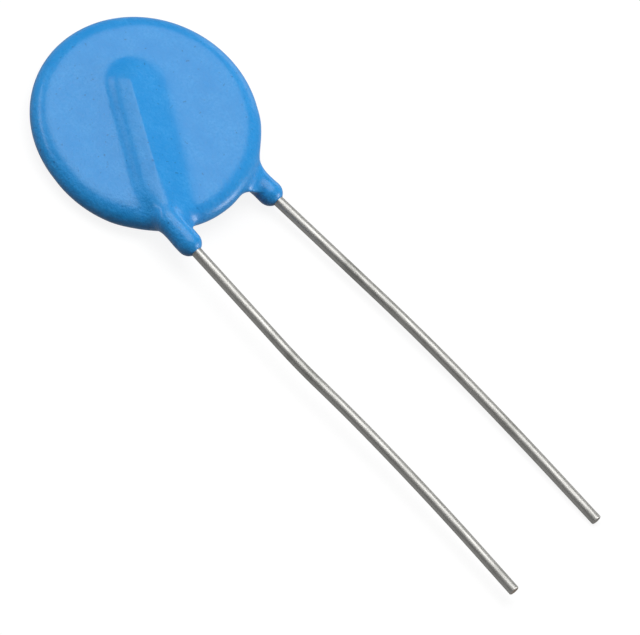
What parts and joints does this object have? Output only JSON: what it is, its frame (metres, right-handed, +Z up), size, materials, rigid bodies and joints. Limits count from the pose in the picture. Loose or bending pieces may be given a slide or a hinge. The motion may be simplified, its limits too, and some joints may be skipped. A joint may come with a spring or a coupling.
{
  "type": "metal oxide varistor",
  "caption": "Round surge-absorbing disc dipped in blue epoxy, with a soldered ridge across it and long parallel tinned wire leads, lying on its back.",
  "frame": {"origin": "on the surface that the part lies on, below the middle of its bounding box", "axes": "+Z up, away from that surface; +Y from the leads' cut ends towards the disc; +X from the front lead's side towards the rear lead's side, with the front face up and leaning towards -X"},
  "size_m": [0.0164, 0.0519, 0.0042],
  "materials": {
    "zinc_oxide_ceramic": "fired, matt",
    "fired_silver": "matt fired silver paste",
    "soft_solder": "satin",
    "tinned_wire": "hot-dipped tin, satin with a dark reflection along the underside",
    "blue_epoxy": "dipped and cured, soft sheen with a fine speckle"
  },
  "bodies": {
    "root": {"zinc_oxide_disc": "zinc_oxide_ceramic", "front_electrode": "fired_silver", "rear_electrode": "fired_silver", "front_solder": "soft_solder", "rear_solder": "soft_solder", "front_lead": "tinned_wire", "rear_lead": "tinned_wire", "epoxy_coating": "blue_epoxy"}
  },
  "joints": []
}
